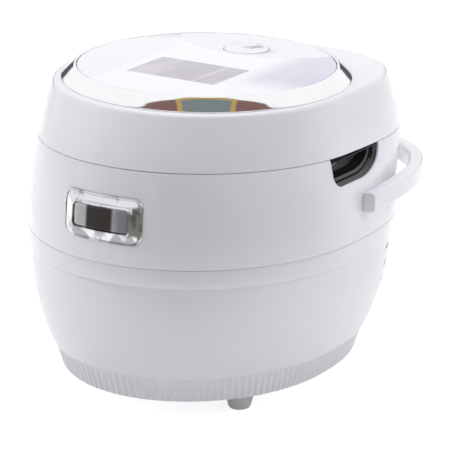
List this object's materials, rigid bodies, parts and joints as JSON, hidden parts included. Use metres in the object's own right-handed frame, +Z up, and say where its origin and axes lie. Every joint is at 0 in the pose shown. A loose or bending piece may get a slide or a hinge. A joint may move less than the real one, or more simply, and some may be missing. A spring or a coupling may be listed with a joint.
{
  "type": "rice cooker",
  "caption": "Countertop rice cooker: rounded housing with a hinged lid, removable inner pot, front release button, finger recesses in the sides and a fixed loop handle at the rear.",
  "frame": {"origin": "centre of the bounding box, on the table under the feet", "axes": "+Z up, -Y the front with the release button, +Y the rear with the handle and the lid's hinge"},
  "size_m": [0.277, 0.3236, 0.2404],
  "materials": {
    "shell": "white gloss moulding",
    "grey_plastic": "grey moulding",
    "pale_plastic": "natural moulding",
    "black_plastic": "black gloss moulding",
    "rubber": "pale grey rubber",
    "silicone": "pale silicone",
    "chrome": "bright chrome plating",
    "steel": "bright steel",
    "cast": "cast aluminium",
    "pot_coat": "dark non-stick coating",
    "panel": "clear glossy cover over a mirror film",
    "screen": "dark grey display",
    "board": "green circuit board"
  },
  "bodies": {
    "housing": {"base_tray": "shell", "rubber_feet": "rubber", "base_screws": "steel", "lower_shell": "shell", "waist_band": "shell", "upper_shell": "shell", "rear_handle": "shell", "top_collar": "grey_plastic", "pocket_right": "black_plastic", "pocket_left": "black_plastic", "heat_shield": "steel", "heating_plate": "cast", "heater_tube": "steel", "sensor_guide": "steel", "sensor_spring": "steel", "inner_pot": "pot_coat", "board_carrier": "pale_plastic", "power_board": "board", "board_parts": "black_plastic", "thermal_fuse": "black_plastic", "mains_inlet": "black_plastic", "inlet_pins": "steel", "button_bezel": "chrome", "button_springs": "steel", "latch_bracket": "steel", "latch_pin": "steel", "hinge_block": "shell", "hinge_pin": "steel", "lid_spring": "steel"},
    "lid": {"lid_shell": "shell", "hinge_arm": "grey_plastic", "lid_liner": "pale_plastic", "inner_lid": "steel", "pot_seal": "silicone", "catch_plate": "steel", "panel_tray": "pale_plastic", "touch_board": "board", "display": "screen", "chrome_ring": "chrome", "top_panel": "panel", "vent_cover": "shell", "steam_well": "pale_plastic"},
    "cap": {"steam_cap": "shell"},
    "button": {"release_button": "chrome"},
    "latch": {"latch_lever": "grey_plastic"},
    "sensor": {"sensor_cap": "cast"}
  },
  "joints": [
    {"name": "lid_hinge", "type": "hinge", "parent": "housing", "child": "lid", "pos_m": [0, 0.13282, 0.196], "axis": [-1, 0, 0], "range_deg": [0, 85]},
    {"name": "cap_lift", "type": "slide", "parent": "lid", "child": "cap", "axis": [0, 0, 1], "range_m": [0, 0.03]},
    {"name": "button_press", "type": "slide", "parent": "housing", "child": "button", "axis": [0, 1, 0], "range_m": [0, 0.003], "stiffness_N_per_m": 900, "springref_m": -0.001, "deforming": ["button_springs"]},
    {"name": "latch_swing", "type": "hinge", "parent": "housing", "child": "latch", "pos_m": [0, -0.13518, 0.1615], "axis": [1, 0, 0], "range_deg": [0, 14.4]},
    {"name": "sensor_slide", "type": "slide", "parent": "housing", "child": "sensor", "axis": [0, 0, -1], "range_m": [0, 0.003], "stiffness_N_per_m": 400, "springref_m": -0.001, "deforming": ["sensor_spring"]}
  ],
  "couplings": [
    {"joint": "latch_swing", "follows": "button_press", "rad_per_m": 83.333}
  ]
}
